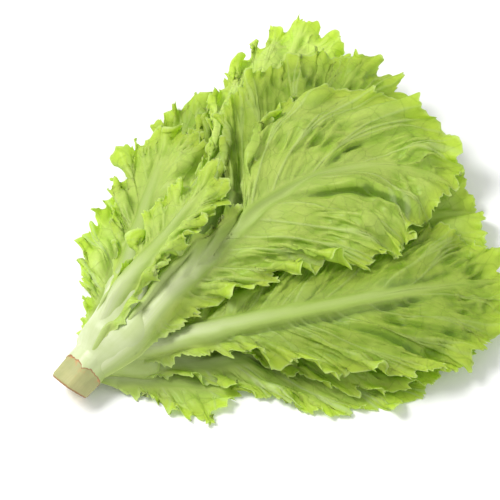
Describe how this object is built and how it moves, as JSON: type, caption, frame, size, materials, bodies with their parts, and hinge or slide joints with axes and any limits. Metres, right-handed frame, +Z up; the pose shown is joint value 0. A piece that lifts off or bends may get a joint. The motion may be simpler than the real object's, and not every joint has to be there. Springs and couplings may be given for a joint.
{
  "type": "lollo bionda lettuce",
  "caption": "Head of loose-leaf lettuce lying on its side: a cut stem with a fan of broad leaves, each with a thick pale rib and a ruffled, toothed margin.",
  "frame": {"origin": "under the centre of the head's bounding box, on the surface that it lies on", "axes": "+X along the stem from its cut end towards the leaf tips, +Z up, +Y to the left of the stem as seen from above"},
  "size_m": [0.3122, 0.2744, 0.0787],
  "materials": {
    "stalk": "pale green, moist and slightly ribbed, browned at the cut",
    "outer_leaf": "satin green leaf with a pale rib and a bright margin",
    "inner_leaf": "satin yellow-green leaf with a pale rib and a bright margin"
  },
  "bodies": {
    "root": {"stem": "stalk", "outer_leaf_1": "outer_leaf", "outer_leaf_2": "outer_leaf", "outer_leaf_3": "outer_leaf", "outer_leaf_4": "outer_leaf", "outer_leaf_5": "outer_leaf", "outer_leaf_6": "outer_leaf", "outer_leaf_7": "outer_leaf", "outer_leaf_8": "outer_leaf", "outer_leaf_9": "outer_leaf", "outer_leaf_10": "outer_leaf", "inner_leaf_1": "inner_leaf", "inner_leaf_2": "inner_leaf", "inner_leaf_3": "inner_leaf", "inner_leaf_4": "inner_leaf", "inner_leaf_5": "inner_leaf", "inner_leaf_6": "inner_leaf"}
  },
  "joints": []
}
